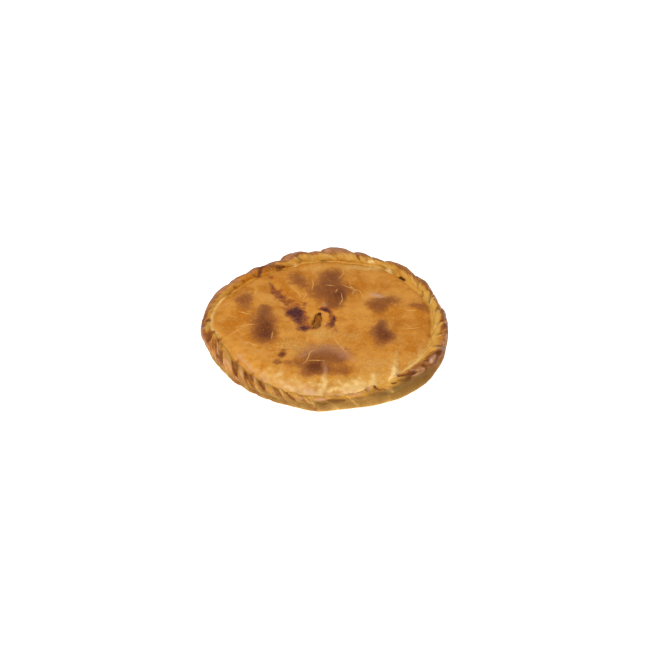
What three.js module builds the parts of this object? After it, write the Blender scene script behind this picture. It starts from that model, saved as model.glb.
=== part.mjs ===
// A round savoury pie, baked whole and uncut: a flat foot, a bulging wall, a rope of finger crimps
// that seals the wall to the lid, a pillowed lid with swells in it, and a steam vent near the middle.
// The dough is one piece, so the pie is one solid, a loft through rings of points from foot to vent.
// Millimetres and degrees, +Z up. The foot lies on Z = 0, and the pie is seen from its -Y side.
// A bearing is an angle about Z from +X, so 90 is the back of the pie and 270 its front.
import * as THREE from "three";
import { LoftGeometry } from "three/addons/geometries/LoftGeometry.js";

const { degToRad, euclideanModulo, lerp, radToDeg, smoothstep } = THREE.MathUtils;

const CRUST_COLOUR = 0xc8873a;
const CRUST_ROUGHNESS = 0.5;

// The rim, as it would be if the maker's hands were even.
const EVEN_RIM = {
  radius: 120, // of the rope's centre line
  height: 15.5, // of the rope's centre line
  thickness: 7, // of the rope in a crease, out from its centre line
  slant: 1, // crimps that a crease crosses between the wall and the seam
  seamAngle: 160, // round the rope from its outside to the lid's seam, in degrees
  footInset: 22, // of the foot's edge from the rope's centre line
  wallBulge: 4, // of the wall past the rope, as a pull on its curve
  wallLift: 0, // of the wall's lower edge off the table, as a pull on its curve
  shoulder: 14, // of the lid, from the seam to where it levels out
};

// What each stretch of the rim adds to that, most at its bearing and nothing past its reach.
const RIM_STRETCHES = [
  {
    name: "back, where the rope stands high",
    bearing: 90,
    reach: 170,
    height: 4.8,
  },
  {
    name: "back, where the lid's seam is low",
    bearing: 84,
    reach: 22,
    seamAngle: 28,
  },
  {
    name: "front, where a thin rope lies low on a bulging wall",
    bearing: 270,
    reach: 110,
    radius: -3.7,
    height: -4.3,
    thickness: -3.3,
    seamAngle: -21,
    wallBulge: 5,
    shoulder: 12,
  },
  {
    name: "front, where the wall sags",
    bearing: 268,
    reach: 16,
    wallBulge: 6,
  },
  {
    name: "right, where the rim is widest",
    bearing: 347,
    reach: 38,
    radius: 2.5,
  },
  {
    name: "right, where the rope is broad and its creases are long",
    bearing: 352,
    reach: 25,
    radius: -1.2,
    thickness: 1.2,
    slant: 0.9,
    seamAngle: 10,
  },
  {
    name: "right, where the rim is nipped in and the lid stands high",
    bearing: 16,
    reach: 15,
    radius: -1.5,
    seamAngle: -27,
  },
  {
    name: "back right, where the lid stands high",
    bearing: 53,
    reach: 14,
    seamAngle: -18,
  },
  {
    name: "back right, where the rope dips",
    bearing: 64,
    reach: 22,
    height: -1.8,
  },
  {
    name: "back left, where the lid's seam is low",
    bearing: 110,
    reach: 9,
    seamAngle: 22,
  },
  {
    name: "back left, where the rope leans in over the lid",
    bearing: 126,
    reach: 50,
    radius: -6,
    height: -3.2,
    shoulder: -5,
  },
  {
    name: "back left, where the lid stands high",
    bearing: 133,
    reach: 22,
    seamAngle: -20,
  },
  {
    name: "left, where the rope is pinched thin and smooth",
    bearing: 170,
    reach: 28,
    radius: 3.5,
    thickness: -2,
  },
  {
    name: "left, where the crimping ends in a knob",
    bearing: 184,
    reach: 11,
    radius: 3,
  },
  {
    name: "left, where the lid stands high",
    bearing: 184,
    reach: 20,
    seamAngle: -35,
  },
  {
    name: "left front, where long folds lie along the rope",
    bearing: 216,
    reach: 62,
    radius: -4,
    height: -1.5,
    thickness: 1.5,
    slant: 0.6,
    footInset: 4,
    wallLift: 1.5,
  },
  {
    name: "front right, where wide flaps stand up to the lid",
    bearing: 315,
    reach: 42,
    radius: 0.5,
    thickness: 3,
    seamAngle: -26,
    wallBulge: 9,
  },
];

// The middle of the whole outline from the centre that the rim's radius is measured from.
const OUTLINE_MIDDLE = { x: -0.2, y: 2.3 };

// Pinches: each makes one crimp, a lobe of the rope that runs from its own crease to the next one.
// The crease is given by its bearing at the rope's crest, and the relief is the lobe's height above it.
const RIGHT_PINCHES = [
  { crease: -1, relief: 1.2 },
  { crease: 9, relief: 1.2 },
  { crease: 19.5, relief: 3 },
  { crease: 36, relief: 4 },
];
const BACK_PINCHES = [
  { crease: 57, relief: 1.4 },
  { crease: 65, relief: 3.2 },
  { crease: 74.5, relief: 4.6 },
  { crease: 91, relief: 1.8 },
  { crease: 98.5, relief: 5.2 },
  { crease: 112.5, relief: 1.6 },
  { crease: 123, relief: 3 },
];
const LEFT_PINCHES = [
  { crease: 136, relief: 2.8 },
  { crease: 147, relief: 2.4 },
  { crease: 159, relief: 0.6 },
  { crease: 171, relief: 0.6 },
  { crease: 183, relief: 2 },
  { crease: 195.5, relief: 2 },
  { crease: 210, relief: 2 },
];
const FRONT_PINCHES = [
  { crease: 221, relief: 2 },
  { crease: 231, relief: 2 },
  { crease: 239, relief: 1.8 },
  { crease: 246.5, relief: 1.6 },
  { crease: 254, relief: 1.4 },
  { crease: 264, relief: 1.4 },
  { crease: 272, relief: 1.4 },
  { crease: 282, relief: 1.4 },
  { crease: 293, relief: 1.4 },
  { crease: 304, relief: 1.4 },
  { crease: 322, relief: 1.2 },
  { crease: 340, relief: 1.2 },
  { crease: 350, relief: 1.2 },
];
const PINCHES = [...RIGHT_PINCHES, ...BACK_PINCHES, ...LEFT_PINCHES, ...FRONT_PINCHES];
const CRIMPS = PINCHES.length;
const CRIMP_ROUNDNESS = 0.75;
const CRIMP_CREST = 1.15; // over 1, a crimp is highest past its middle
const CRIMP_LEAN = 0.5;
const CRIMP_RELIEF_AT_EDGES = 0.3;
const ROPE_WALL_ANGLE = -12;
const ROPE_CREST_SHARE = 0.4;

// Lid: a rounded shoulder inside the seam, then a broad crown.
const LID_CROWN = 22;
const LID_SHOULDER_POWER = 2.5;
const LID_RING_POWER = 1.7;

// Swells: parts of the lid that filling or steam lifted.
const SWELLS = [
  { name: "back middle", x: 5, y: 55, long: 34, wide: 18, turn: 98, rise: 3 },
  { name: "back left", x: -29, y: 68, long: 22, wide: 13, turn: 118, rise: 1.8 },
  { name: "left", x: -62, y: -8, long: 30, wide: 15, turn: 95, rise: 2.8 },
  { name: "far left", x: -86, y: 35, long: 20, wide: 12, turn: 70, rise: 2 },
  { name: "front left", x: -74, y: -63, long: 30, wide: 11, turn: 135, rise: 1.8 },
  { name: "front middle", x: -2, y: -65, long: 27, wide: 22, turn: 0, rise: 3.2 },
  { name: "right", x: 60, y: -24, long: 23, wide: 14, turn: 100, rise: 2.2 },
  { name: "back right", x: 60, y: 31, long: 19, wide: 14, turn: 15, rise: 2.4 },
  { name: "far right", x: 99, y: 23, long: 12, wide: 8, turn: 160, rise: 1.2 },
];

// Vent: an oval hole in a shallow dip of the lid, with the filling a little way down.
const VENT = { x: -7.5, y: -1, halfLength: 14.5, halfWidth: 5, turn: 82, depth: 6, floorScale: 0.8 };
const VENT_DIP = { depth: 1.8, reach: 26 };
const FILLING_HEAP = { scale: 0.35, rise: 1 };

// Mesh
const COLUMNS_PER_CRIMP = 6;
const WALL_BANDS = 6;
const ROPE_BANDS = 10;
const LID_BANDS = 8;
const VENT_BANDS = 2;
const COLUMNS = CRIMPS * COLUMNS_PER_CRIMP;

// A smooth weight round the rim: 1 at a bearing, 0 at its reach and beyond.
function nearness(bearing, stretch) {
  const away = Math.abs(euclideanModulo(bearing - stretch.bearing + 180, 360) - 180);
  return away < stretch.reach ? 0.5 + 0.5 * Math.cos((Math.PI * away) / stretch.reach) : 0;
}

// The rim's sizes at a bearing.
function rimAt(bearing) {
  const rim = { ...EVEN_RIM };
  for (const stretch of RIM_STRETCHES) {
    const weight = nearness(bearing, stretch);
    for (const size of Object.keys(rim)) {
      rim[size] += weight * (stretch[size] ?? 0);
    }
  }
  return rim;
}

// The bearing of a crease, counted on past the last one into the next turn round the pie.
function creaseBearing(crimp) {
  return PINCHES[euclideanModulo(crimp, CRIMPS)].crease + 360 * Math.floor(crimp / CRIMPS);
}

// The bearing of a place counted in crimps from the first crease.
function bearingOf(crimps) {
  const crimp = Math.floor(crimps);
  return lerp(creaseBearing(crimp), creaseBearing(crimp + 1), crimps - crimp);
}

function polar(radius, bearing, height) {
  const angle = degToRad(bearing);
  return new THREE.Vector3(radius * Math.cos(angle), radius * Math.sin(angle), height);
}

const bearingOfPoint = (point) => radToDeg(Math.atan2(point.y, point.x));

// How far a crimp stands out of the rope: round across the lobe, and fading to the wall and the seam.
function crimpRelief(column, ropeShare) {
  const crimp = Math.floor(column / COLUMNS_PER_CRIMP);
  const across = column / COLUMNS_PER_CRIMP - crimp;
  const lobe = Math.pow(Math.sin(Math.PI * Math.pow(across, CRIMP_CREST)), CRIMP_ROUNDNESS);
  const fade = lerp(CRIMP_RELIEF_AT_EDGES, 1, Math.sin(Math.PI * ropeShare));
  return PINCHES[crimp].relief * lobe * fade;
}

// The rope, from a share of 0 at the wall, over the top, to 1 at the lid's seam.
function ropePoint(column, ropeShare) {
  const crimps = column / COLUMNS_PER_CRIMP;
  const slant = rimAt(bearingOf(crimps)).slant * (ROPE_CREST_SHARE - ropeShare);
  const bearing = bearingOf(crimps + slant);
  const rim = rimAt(bearing);
  const relief = crimpRelief(column, ropeShare);
  const angle = degToRad(lerp(ROPE_WALL_ANGLE, rim.seamAngle, ropeShare));
  const radius = rim.radius + (rim.thickness + relief) * Math.cos(angle);
  const height = rim.height + (rim.thickness + relief) * Math.sin(angle);
  return polar(radius, bearing + radToDeg((CRIMP_LEAN * relief) / radius), height);
}

// The wall, which curves out from the foot and up to the rope.
function wallPoint(column, wallShare) {
  const top = ropePoint(column, 0);
  const bearing = bearingOfPoint(top);
  const topRadius = Math.hypot(top.x, top.y);
  const rim = rimAt(bearing);
  const curve = new THREE.QuadraticBezierCurve(
    new THREE.Vector2(rim.radius - rim.footInset, 0),
    new THREE.Vector2(topRadius + rim.wallBulge, rim.wallLift),
    new THREE.Vector2(topRadius, top.z),
  );
  const section = curve.getPoint(wallShare);
  return polar(section.x, bearing, section.y);
}

// A bump of height 1 with soft edges, longer one way than the other.
function softOval({ x, y, long, wide, turn }, point) {
  const [c, s] = [Math.cos(degToRad(turn)), Math.sin(degToRad(turn))];
  const [dx, dy] = [point.x - x, point.y - y];
  return Math.exp(-(((c * dx + s * dy) / long) ** 2) - ((c * dy - s * dx) / wide) ** 2);
}

function swellHeight(point) {
  return SWELLS.reduce((sum, swell) => sum + swell.rise * softOval(swell, point), 0);
}

// A point of the vent's oval, scaled about its middle.
function ventPoint(bearing, scale, height) {
  const turn = degToRad(VENT.turn);
  const angle = degToRad(bearing) - turn;
  const along = scale * VENT.halfLength * Math.cos(angle);
  const across = scale * VENT.halfWidth * Math.sin(angle);
  return new THREE.Vector3(
    VENT.x + along * Math.cos(turn) - across * Math.sin(turn),
    VENT.y + along * Math.sin(turn) + across * Math.cos(turn),
    height,
  );
}

// The lid, from the rope's seam to the vent's lip.
function lidPoint(column, lidShare) {
  const seam = ropePoint(column, 1);
  const bearing = bearingOfPoint(seam);
  const point = seam.clone().lerp(ventPoint(bearing, 1, 0), Math.pow(lidShare, LID_RING_POWER));
  const fromSeam = Math.hypot(point.x - seam.x, point.y - seam.y);
  const onShoulder = Math.max(0, 1 - fromSeam / rimAt(bearing).shoulder);
  const level = 1 - Math.pow(onShoulder, LID_SHOULDER_POWER);
  const fromVent = Math.hypot(point.x - VENT.x, point.y - VENT.y);
  const dip = VENT_DIP.depth * (1 - smoothstep(fromVent, 0, VENT_DIP.reach));
  point.z = lerp(seam.z, LID_CROWN + swellHeight(point) - dip, level);
  return point;
}

// The vent, from its lip down to the filling.
function ventWallPoint(column, depthShare) {
  const bearing = bearingOfPoint(ropePoint(column, 1));
  const height = lerp(lidPoint(column, 1).z, LID_CROWN - VENT.depth, depthShare);
  return ventPoint(bearing, lerp(1, VENT.floorScale, depthShare), height);
}

// The filling, heaped up a little in the middle of the vent.
function fillingPoint(column) {
  const bearing = bearingOfPoint(ropePoint(column, 1));
  return ventPoint(bearing, FILLING_HEAP.scale, LID_CROWN - VENT.depth + FILLING_HEAP.rise);
}

// Rings of points all round the pie, one at each share.
function ringsOf(pointAt, shares) {
  return shares.map((share) => Array.from({ length: COLUMNS }, (_, column) => pointAt(column, share)));
}

const sharesFrom = (first, last, bands) =>
  Array.from({ length: last - first + 1 }, (_, i) => (first + i) / bands);

const crust = new THREE.Mesh(
  new LoftGeometry(
    [
      ...ringsOf(wallPoint, sharesFrom(0, WALL_BANDS - 1, WALL_BANDS)),
      ...ringsOf(ropePoint, sharesFrom(0, ROPE_BANDS, ROPE_BANDS)),
      ...ringsOf(lidPoint, sharesFrom(1, LID_BANDS, LID_BANDS)),
      ...ringsOf(ventWallPoint, sharesFrom(1, VENT_BANDS, VENT_BANDS)),
      ...ringsOf(fillingPoint, [1]),
    ],
    { capStart: true, capEnd: true },
  ),
  new THREE.MeshStandardMaterial({ color: CRUST_COLOUR, roughness: CRUST_ROUGHNESS, metalness: 0 }),
);
crust.name = "crust";
crust.position.set(-OUTLINE_MIDDLE.x, -OUTLINE_MIDDLE.y, 0);

const pie = new THREE.Group();
pie.add(crust);

export default pie;
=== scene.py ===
import math

import bmesh
import bpy
import numpy as np
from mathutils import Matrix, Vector, noise


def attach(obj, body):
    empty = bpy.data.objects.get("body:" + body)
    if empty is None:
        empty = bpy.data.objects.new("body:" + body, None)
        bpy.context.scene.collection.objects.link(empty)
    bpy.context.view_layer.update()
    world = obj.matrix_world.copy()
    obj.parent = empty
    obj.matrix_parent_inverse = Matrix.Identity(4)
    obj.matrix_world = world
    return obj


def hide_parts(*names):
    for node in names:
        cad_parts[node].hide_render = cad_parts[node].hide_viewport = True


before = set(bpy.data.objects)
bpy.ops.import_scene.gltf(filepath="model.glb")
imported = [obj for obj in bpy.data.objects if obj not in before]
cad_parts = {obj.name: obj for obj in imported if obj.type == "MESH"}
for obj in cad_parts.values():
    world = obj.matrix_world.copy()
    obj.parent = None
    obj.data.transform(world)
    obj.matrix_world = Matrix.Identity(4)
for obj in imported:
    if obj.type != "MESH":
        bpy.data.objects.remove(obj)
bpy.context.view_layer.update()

# The crust: two sheets of bread dough round a filling, baked whole and uncut, so it is one piece.
# The lower sheet is turned up over the lid and pinched all round into a rope of finger crimps.
# Millimetres and degrees; a bearing is an angle about Z from +X, so 90 is the back, 270 the front.

# Rim: its even sizes, and what each stretch adds, most at its bearing and nothing past its reach.
EVEN_RIM = {
    "radius": 120.0,  # of the rope's centre line
    "height": 15.5,  # of the rope's centre line
    "thickness": 7.0,  # of the rope in a crease, out from its centre line
    "slant": 1.0,  # crimps that a crease crosses between the wall and the seam
    "seam_angle": 160.0,  # round the rope from its outside to the lid's seam
    "foot_inset": 22.0,  # of the foot's edge from the rope's centre line
    "wall_bulge": 4.0,  # of the wall past the rope, as a pull on its curve
    "wall_lift": 0.0,  # of the wall's lower edge off the table, as a pull on its curve
    "shoulder": 14.0,  # of the lid, from the seam to where it levels out
    "groove": 0.25,  # depth of the fold line in a crease
    "seam": 0.12,  # depth of the fold line between rope and lid
    "seam_drop": 0.9,  # of the dough on both sides down to that line
    "browned": 0.85,  # of the rope's crest
    "browned_to": 0.46,  # share of the rope where the browned crest ends
    "straw": 0.55,  # yellow of the rope's inner side
    "pale": 0.1,  # of the rope's inner side
    "amber": 0.1,  # of the rope's inner side
    "lid_edge": 0.0,  # of pale dough on the lid beside the seam
    "edge_brown": 0.14,  # of browned dough there
}
RIM_STRETCHES = [
    # back, where the rope stands high, and the lid's seam is low
    (90, 170, {"height": 4.8, "browned_to": 0.16}),
    (84, 22, {"seam_angle": 28, "browned_to": -0.05}),
    (88, 44, {"browned": -0.05, "browned_to": 0.08, "straw": 0.1, "pale": -0.1, "amber": 0.3}),
    # front, where a thin rope lies low on a bulging wall
    (270, 110, {"radius": -3.7, "height": -4.3, "thickness": -3.3, "seam_angle": -21, "wall_bulge": 5,
                "shoulder": 12, "groove": -0.25, "seam": -0.12, "seam_drop": -0.9, "browned": -0.75,
                "lid_edge": 0.25, "edge_brown": -0.14}),
    (268, 16, {"wall_bulge": 6}),
    # right, where the rim is widest, broad and long creased, and then nipped in with a high lid
    (347, 38, {"radius": 2.5}),
    (352, 25, {"radius": -1.2, "thickness": 1.2, "slant": 0.9, "seam_angle": 10}),
    (2, 34, {"straw": 0.2, "pale": 0.25, "groove": 0.2, "seam": 0.5}),
    (16, 15, {"radius": -1.5, "seam_angle": -27}),
    # back right, where the lid stands high and the rope dips
    (53, 14, {"seam_angle": -18}),
    (64, 22, {"height": -1.8}),
    (48, 30, {"amber": 0.2}),
    (34, 40, {"browned": -0.3, "browned_to": 0.16}),
    # back left, where the rope leans in over a high lid and has caught the heat
    (110, 9, {"seam_angle": 22}),
    (126, 50, {"radius": -6, "height": -3.2, "shoulder": -5}),
    (133, 22, {"seam_angle": -20}),
    (132, 30, {"groove": 0.3, "browned": 0.3, "browned_to": 0.02, "straw": -0.6, "pale": -0.4,
               "amber": 1.2}),
    # left, where the rope is pinched thin and smooth, and ends in a knob
    (170, 28, {"radius": 3.5, "thickness": -2, "groove": -0.25, "seam": -0.12, "seam_drop": -0.5,
               "browned": -0.1, "browned_to": 0.16, "straw": -0.1, "edge_brown": -0.14}),
    (184, 11, {"radius": 3}),
    (184, 20, {"seam_angle": -35}),
    # left front, where long folds lie along the rope
    (216, 62, {"radius": -4, "height": -1.5, "thickness": 1.5, "slant": 0.6, "foot_inset": 4,
               "wall_lift": 1.5, "groove": -0.2, "browned": -0.25, "straw": -0.3}),
    # front right, where wide flaps stand up to the lid
    (315, 42, {"radius": 0.5, "thickness": 3, "seam_angle": -26, "wall_bulge": 9, "browned": -0.2}),
]
OUTLINE_MIDDLE = Vector((-0.2, 2.3))


def near(bearing, middle, reach):
    """A smooth weight round the rim: 1 at the middle, 0 at its reach and beyond."""
    away = np.abs((bearing - middle + 180) % 360 - 180)
    return np.where(away < reach, 0.5 + 0.5 * np.cos(np.pi * away / reach), 0.0)


def rim(size, bearing):
    """One of the rim's sizes at a bearing."""
    added = [near(bearing, middle, reach) * adds.get(size, 0) for middle, reach, adds in RIM_STRETCHES]
    return EVEN_RIM[size] + sum(added)


# Pinches: each makes one crimp, a lobe of the rope from its own crease to the next one.
# A crease has its bearing at the rope's crest, and the relief is the lobe's height above it.
RIGHT_PINCHES = [(-1, 1.2), (9, 1.2), (19.5, 3), (36, 4)]
BACK_PINCHES = [(57, 1.4), (65, 3.2), (74.5, 4.6), (91, 1.8), (98.5, 5.2), (112.5, 1.6), (123, 3)]
LEFT_PINCHES = [(136, 2.8), (147, 2.4), (159, 0.6), (171, 0.6), (183, 2), (195.5, 2), (210, 2)]
FRONT_PINCHES = [(221, 2), (231, 2), (239, 1.8), (246.5, 1.6), (254, 1.4), (264, 1.4), (272, 1.4),
                 (282, 1.4), (293, 1.4), (304, 1.4), (322, 1.2), (340, 1.2), (350, 1.2)]
PINCHES = RIGHT_PINCHES + BACK_PINCHES + LEFT_PINCHES + FRONT_PINCHES
CRIMPS = len(PINCHES)
CREASES = np.array([crease for crease, relief in PINCHES] + [PINCHES[0][0] + 360])
RELIEFS = np.array([relief for crease, relief in PINCHES])
CRIMP_ROUNDNESS = 0.75
CRIMP_CREST = 1.15  # over 1, a crimp is highest past its middle
CRIMP_LEAN = 0.5
RELIEF_AT_EDGES = 0.3
ROPE_WALL_ANGLE = -12
ROPE_CREST_SHARE = 0.4


def bearing_of(crimps):
    """The bearing of a place counted in crimps from the first crease."""
    turns = np.floor(crimps / CRIMPS)
    return np.interp(crimps - turns * CRIMPS, np.arange(CRIMPS + 1), CREASES) + 360 * turns


def polar(radius, bearing, height):
    angle = np.radians(bearing)
    return np.stack([radius * np.cos(angle), radius * np.sin(angle), height + 0 * angle], axis=-1)


def bearing_to(point):
    return np.degrees(np.arctan2(point[..., 1], point[..., 0]))


def mix(a, b, share):
    return a + (b - a) * share


def smooth(value, low, high):
    """0 below low, 1 above high, and an S curve between."""
    t = np.clip((value - low) / (high - low), 0, 1)
    return t * t * (3 - 2 * t)


def bell(value, middle, width):
    return np.exp(-(((value - middle) / width) ** 2))


def lobe(crimps):
    """Height across one crimp, from 0 at a crease to 1 at its crest."""
    across = crimps - np.floor(crimps)
    return np.sin(np.pi * across ** CRIMP_CREST) ** CRIMP_ROUNDNESS


def from_crease(crimps):
    """Millimetres along the rim to the nearest crease."""
    crimp = np.floor(crimps).astype(int) % CRIMPS
    across = crimps - np.floor(crimps)
    width = np.radians(CREASES[crimp + 1] - CREASES[crimp]) * EVEN_RIM["radius"]
    return np.minimum(across, 1 - across) * width


def rope(crimps, share):
    """The rope, from a share of 0 at the wall, over the top, to 1 at the lid's seam."""
    slant = rim("slant", bearing_of(crimps)) * (ROPE_CREST_SHARE - share)
    bearing = bearing_of(crimps + slant)
    fade = mix(RELIEF_AT_EDGES, 1, np.sin(np.pi * share))
    relief = RELIEFS[np.floor(crimps).astype(int) % CRIMPS] * lobe(crimps) * fade
    angle = np.radians(mix(ROPE_WALL_ANGLE, rim("seam_angle", bearing), share))
    out = rim("thickness", bearing) + relief
    radius = rim("radius", bearing) + out * np.cos(angle)
    lean = np.degrees(CRIMP_LEAN * relief / radius)
    return polar(radius, bearing + lean, rim("height", bearing) + out * np.sin(angle))


def wall(crimps, share):
    """The wall, which curves out from the foot and up to the rope."""
    top = rope(crimps, 0)
    bearing = bearing_to(top)
    top_radius = np.hypot(top[..., 0], top[..., 1])
    foot_radius = rim("radius", bearing) - rim("foot_inset", bearing)
    pull_radius = top_radius + rim("wall_bulge", bearing)
    by_foot, by_pull, by_top = (1 - share) ** 2, 2 * share * (1 - share), share ** 2
    radius = by_foot * foot_radius + by_pull * pull_radius + by_top * top_radius
    height = by_pull * rim("wall_lift", bearing) + by_top * top[..., 2]
    return polar(radius, bearing, height)


def foot(crimps, share):
    """The flat underside, from its middle to the wall."""
    return wall(crimps, 0) * share


# Lid: a rounded shoulder inside the seam, then a broad crown with swells that filling or steam lifted.
# An oval has its middle, half length, half width, turn, and the rise or depth of colour it gives.
LID_CROWN = 22.0
LID_SHOULDER_POWER = 2.5
LID_RING_POWER = 1.7
SWELLS = {
    "back middle": (5, 55, 34, 18, 98, 3.0),
    "back left": (-29, 68, 22, 13, 118, 1.8),
    "left": (-62, -8, 30, 15, 95, 2.8),
    "far left": (-86, 35, 20, 12, 70, 2.0),
    "front left": (-74, -63, 30, 11, 135, 1.8),
    "front middle": (-2, -65, 27, 22, 0, 3.2),
    "right": (60, -24, 23, 14, 100, 2.2),
    "back right": (60, 31, 19, 14, 15, 2.4),
    "far right": (99, 23, 12, 8, 160, 1.2),
}
VENT = {"x": -7.5, "y": -1, "half_length": 14.5, "half_width": 5, "turn": 82, "depth": 6,
        "floor_scale": 0.8}
VENT_DIP = {"depth": 1.8, "reach": 26}
FILLING_HEAP = 1.0


def oval_distance(oval, x, y):
    """How far out in an oval a point lies: 0 at its middle, 1 at its edge."""
    middle_x, middle_y, half_length, half_width, turn = oval[:5]
    c, s = math.cos(math.radians(turn)), math.sin(math.radians(turn))
    dx, dy = x - middle_x, y - middle_y
    return np.hypot((c * dx + s * dy) / half_length, (c * dy - s * dx) / half_width)


def vent_point(bearing, scale, height):
    """A point of the vent's oval, scaled about its middle."""
    turn = math.radians(VENT["turn"])
    angle = np.radians(bearing) - turn
    along = scale * VENT["half_length"] * np.cos(angle)
    across = scale * VENT["half_width"] * np.sin(angle)
    x = VENT["x"] + along * math.cos(turn) - across * math.sin(turn)
    y = VENT["y"] + along * math.sin(turn) + across * math.cos(turn)
    return np.stack([x, y, height + 0 * x], axis=-1)


def lid(crimps, share):
    """The lid, from the rope's seam to the vent's lip."""
    seam = rope(crimps, 1)
    bearing = bearing_to(seam)
    point = mix(seam, vent_point(bearing, 1, 0), share ** LID_RING_POWER)
    x, y = point[..., 0], point[..., 1]
    from_seam = np.hypot(x - seam[..., 0], y - seam[..., 1])
    on_shoulder = np.maximum(0, 1 - from_seam / rim("shoulder", bearing))
    level = 1 - on_shoulder ** LID_SHOULDER_POWER
    swell = sum(oval[-1] * bell(oval_distance(oval, x, y), 0, 1) for oval in SWELLS.values())
    dip = VENT_DIP["depth"] * (1 - smooth(np.hypot(x - VENT["x"], y - VENT["y"]), 0, VENT_DIP["reach"]))
    point[..., 2] = mix(seam[..., 2], LID_CROWN + swell - dip, level)
    return point


def vent_wall(crimps, share):
    """The vent, from its lip down to the filling."""
    lip = lid(crimps, 1)
    bearing = bearing_to(rope(crimps, 1))
    height = mix(lip[..., 2], LID_CROWN - VENT["depth"], share)
    return vent_point(bearing, mix(1, VENT["floor_scale"], share), height)


def filling(crimps, share):
    """The filling at the bottom of the vent, heaped up a little in the middle."""
    bearing = bearing_to(rope(crimps, 1))
    height = LID_CROWN - VENT["depth"] + FILLING_HEAP * share * (2 - share)
    return vent_point(bearing, VENT["floor_scale"] * (1 - share), height)


# Skin: rings of points from the middle of the foot to the middle of the vent, close together on the rim.
DEGREES_PER_COLUMN = 0.54
CROWDING_AT_CREASES = 0.06
BANDS = [(foot, 4), (wall, 16), (rope, 46), (lid, 60), (vent_wall, 6), (filling, 3)]
FOOT, WALL, ROPE, LID, VENT_WALL, FILLING = range(len(BANDS))
RINGS = [(FOOT, 0.0)]
for band, (_, count) in enumerate(BANDS):
    RINGS += [(band, ring / count) for ring in range(1, count + 1)]


def columns_round_the_rim():
    """Places in crimps once round the rim, with one on each crease and more of them close to it."""
    places = []
    for crimp in range(CRIMPS):
        count = round((CREASES[crimp + 1] - CREASES[crimp]) / DEGREES_PER_COLUMN)
        across = np.arange(count) / count
        places.extend(crimp + across - CROWDING_AT_CREASES * np.sin(2 * np.pi * across))
    return np.array(places + [CRIMPS])


COLUMNS = columns_round_the_rim()
points = np.stack([BANDS[band][0](COLUMNS, share) for band, share in RINGS])
crimps = np.broadcast_to(COLUMNS, points.shape[:2])
band = np.broadcast_to(np.array([band for band, share in RINGS])[:, None], points.shape[:2])
share = np.broadcast_to(np.array([share for band, share in RINGS])[:, None], points.shape[:2])
x, y, z = np.moveaxis(points, -1, 0)
bearing = bearing_to(points)
on_wall = band <= WALL
on_rope = band == ROPE
on_lid = band == LID
in_vent = band >= VENT_WALL
inside_seam = on_lid | in_vent
seam = rope(COLUMNS, 1)[None]
from_seam = np.hypot(x - seam[..., 0], y - seam[..., 1])

# Marks: what fingers, folds and the oven left, each drawn along a path as wide as a finger or a fold.
# Push lifts or sinks the dough in millimetres, and the other values say how it took colour, except painted
# light: the value for shade is painted shade, the value for sheen is a painted highlight, and the value
# for pale is pale dough and, on ridges, lips and folds, a painted highlight.
FINISHES = ["push", "browned", "straw", "pale", "amber", "tan", "stain", "dark", "shine", "crack_offset",
            "crack_open", "streaky"]
FINISH = {name: np.zeros(points.shape[:2]) for name in FINISHES}
MM_PER_DEGREE = math.radians(1) * EVEN_RIM["radius"]
MEAN_RELIEF = 1.5
WALL_WIDTH = 24.0
LUMP_SIZE = {"large": 13.0, "small": 5.0, "wander": 16.0}
LUMP_OFFSET = Vector((17.0, 31.0, 7.0))  # from one use of the noise to the next
WANDER = {"broad": 2.4, "fine": 0.9}  # of a mark off its path
RIM_WANDER = 0.3  # share of that on the rim, where marks are finer
LID_WANDER = 0.5
MARK_ENDS = 0.35  # of a mark's width, at its ends
MARK_TAPER = 0.6
FAR_OFF = 99.0  # farther than any mark or crack reaches


def rope_width(bearing):
    """Millimetres over the rope from the wall to the seam."""
    turn = np.radians(rim("seam_angle", bearing) - ROPE_WALL_ANGLE)
    return (rim("thickness", bearing) + MEAN_RELIEF) * turn


on_rim = (band >= WALL) & (band <= LID)
past_seam = np.where(on_rope, (share - 1) * rope_width(bearing), from_seam)
across = np.where(on_wall, (share - 1) * WALL_WIDTH, rope_width(bearing) + past_seam)


def lumps(size, use):
    """Smooth noise over the crust, from about -1 to 1, with lumps of a size."""
    offset = use * LUMP_OFFSET
    values = [noise.noise(Vector(point) / size + offset) for point in points.reshape(-1, 3)]
    return np.array(values).reshape(points.shape[:2])


large_lumps = lumps(LUMP_SIZE["large"], 1)
small_lumps = lumps(LUMP_SIZE["small"], 2)
wander_u = WANDER["broad"] * lumps(LUMP_SIZE["wander"], 3) + WANDER["fine"] * small_lumps
wander_v = WANDER["broad"] * lumps(LUMP_SIZE["wander"], 4) + WANDER["fine"] * lumps(LUMP_SIZE["small"], 5)


def along_path(u, v, path):
    """Millimetres to one side or the other of a path, and the place along it, from 0 to 1."""
    offset = np.full(u.shape, FAR_OFF)
    place = np.zeros(u.shape)
    for i, (start, end) in enumerate(zip(path, path[1:])):
        run_u, run_v = end[0] - start[0], end[1] - start[1]
        along = ((u - start[0]) * run_u + (v - start[1]) * run_v) / (run_u ** 2 + run_v ** 2)
        along = np.clip(along, 0, 1)
        off_u, off_v = u - start[0] - along * run_u, v - start[1] - along * run_v
        side = np.where(run_u * off_v - run_v * off_u < 0, -1, 1)
        away = np.hypot(off_u, off_v)
        closer = away < np.abs(offset)
        offset = np.where(closer, side * away, offset)
        place = np.where(closer, (i + along) / (len(path) - 1), place)
    return offset, place


def mark(where, u, v, path, wide, **amounts):
    """Adds one mark, widest in its middle, to the finish of part of the crust."""
    offset, place = along_path(u, v, path)
    taper = mix(MARK_ENDS, 1, np.sin(np.pi * place) ** MARK_TAPER)
    weight = where * bell(offset, 0, 0.5 * wide * taper)
    for name, amount in amounts.items():
        FINISH[name] += amount * weight


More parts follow.
